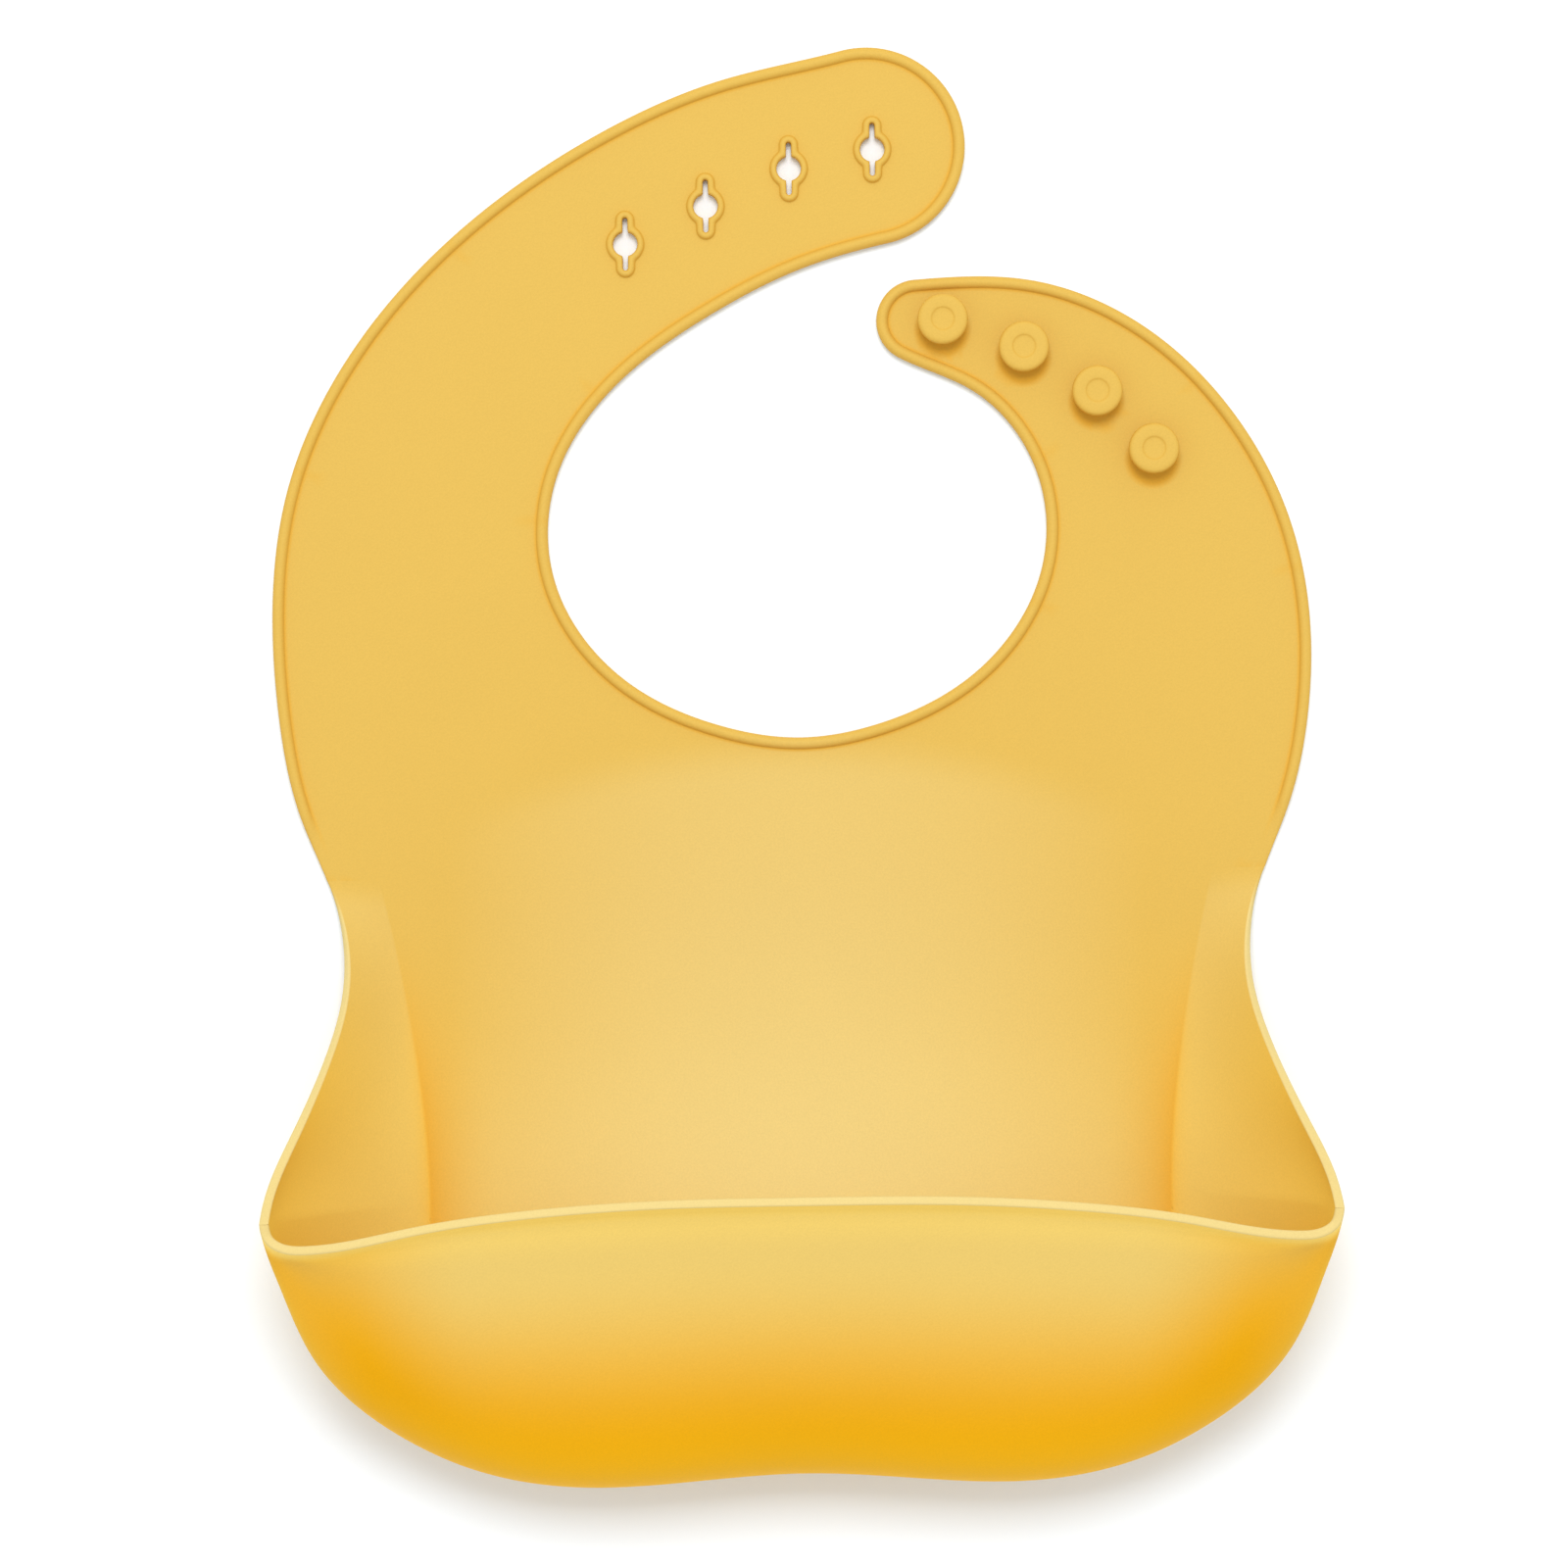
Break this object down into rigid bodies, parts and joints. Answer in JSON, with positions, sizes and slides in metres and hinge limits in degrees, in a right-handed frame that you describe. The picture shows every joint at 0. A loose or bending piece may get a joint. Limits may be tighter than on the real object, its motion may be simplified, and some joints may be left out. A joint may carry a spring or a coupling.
{
  "type": "silicone baby bib",
  "caption": "Soft silicone baby bib with a standing scoop pocket, a beaded collar, a strap with keyholes and a strap with press-through studs.",
  "frame": {"origin": "under the middle of the bib's outline, on the plane it lies on", "axes": "+Z out of the front of the bib, +Y towards the straps, +X towards the strap with the studs"},
  "size_m": [0.2214, 0.3027, 0.06],
  "materials": {
    "silicone": "matte"
  },
  "bodies": {
    "chest": {"chest_panel": "silicone", "pocket_bottom": "silicone", "pocket_turn_left": "silicone", "pocket_turn_right": "silicone", "pocket_side_left": "silicone", "pocket_side_right": "silicone", "pocket_corner_left": "silicone", "pocket_corner_right": "silicone"},
    "collar": {"collar_sheet": "silicone", "collar_bead": "silicone"},
    "hole_strap": {"hole_strap_root_sheet": "silicone", "hole_strap_root_bead": "silicone"},
    "hole_strap_end": {"hole_strap_end_sheet": "silicone", "hole_strap_end_bead": "silicone", "keyhole_1": "silicone", "keyhole_2": "silicone", "keyhole_3": "silicone", "keyhole_4": "silicone"},
    "stud_strap": {"stud_strap_root_sheet": "silicone", "stud_strap_root_bead": "silicone", "stud_3": "silicone", "stud_4": "silicone"},
    "stud_strap_end": {"stud_strap_end_sheet": "silicone", "stud_strap_end_bead": "silicone", "stud_1": "silicone", "stud_2": "silicone"},
    "pocket_front": {"pocket_front": "silicone"}
  },
  "joints": [
    {"name": "chest_fold", "type": "hinge", "parent": "chest", "child": "collar", "pos_m": [0, -0.02215, 0.00205], "axis": [1, 0, 0], "range_deg": [0, 90], "stiffness_Nm_per_rad": 0.03},
    {"name": "hole_strap_bend", "type": "hinge", "parent": "collar", "child": "hole_strap", "pos_m": [-0.081, 0.06, 0.0033], "axis": [0.9781, -0.2079, 0], "range_deg": [0, 45], "stiffness_Nm_per_rad": 0.02},
    {"name": "hole_strap_end_bend", "type": "hinge", "parent": "hole_strap", "child": "hole_strap_end", "pos_m": [-0.057, 0.099, 0.0033], "axis": [0.6691, -0.7431, 0], "range_deg": [0, 45], "stiffness_Nm_per_rad": 0.02},
    {"name": "stud_strap_bend", "type": "hinge", "parent": "collar", "child": "stud_strap", "pos_m": [0.082, 0.038, 0.0033], "axis": [0.9925, 0.1219, 0], "range_deg": [0, 45], "stiffness_Nm_per_rad": 0.02},
    {"name": "stud_strap_end_bend", "type": "hinge", "parent": "stud_strap", "child": "stud_strap_end", "pos_m": [0.0577, 0.0822, 0.0033], "axis": [0.5299, 0.848, 0], "range_deg": [0, 45], "stiffness_Nm_per_rad": 0.02},
    {"name": "pocket_flex", "type": "hinge", "parent": "chest", "child": "pocket_front", "pos_m": [0, -0.145, 0.0223], "axis": [1, 0, 0], "range_deg": [-18, 8], "stiffness_Nm_per_rad": 0.5}
  ],
  "couplings": [
    {"joint": "hole_strap_end_bend", "follows": "hole_strap_bend", "ratio": 1},
    {"joint": "stud_strap_end_bend", "follows": "stud_strap_bend", "ratio": 1}
  ]
}
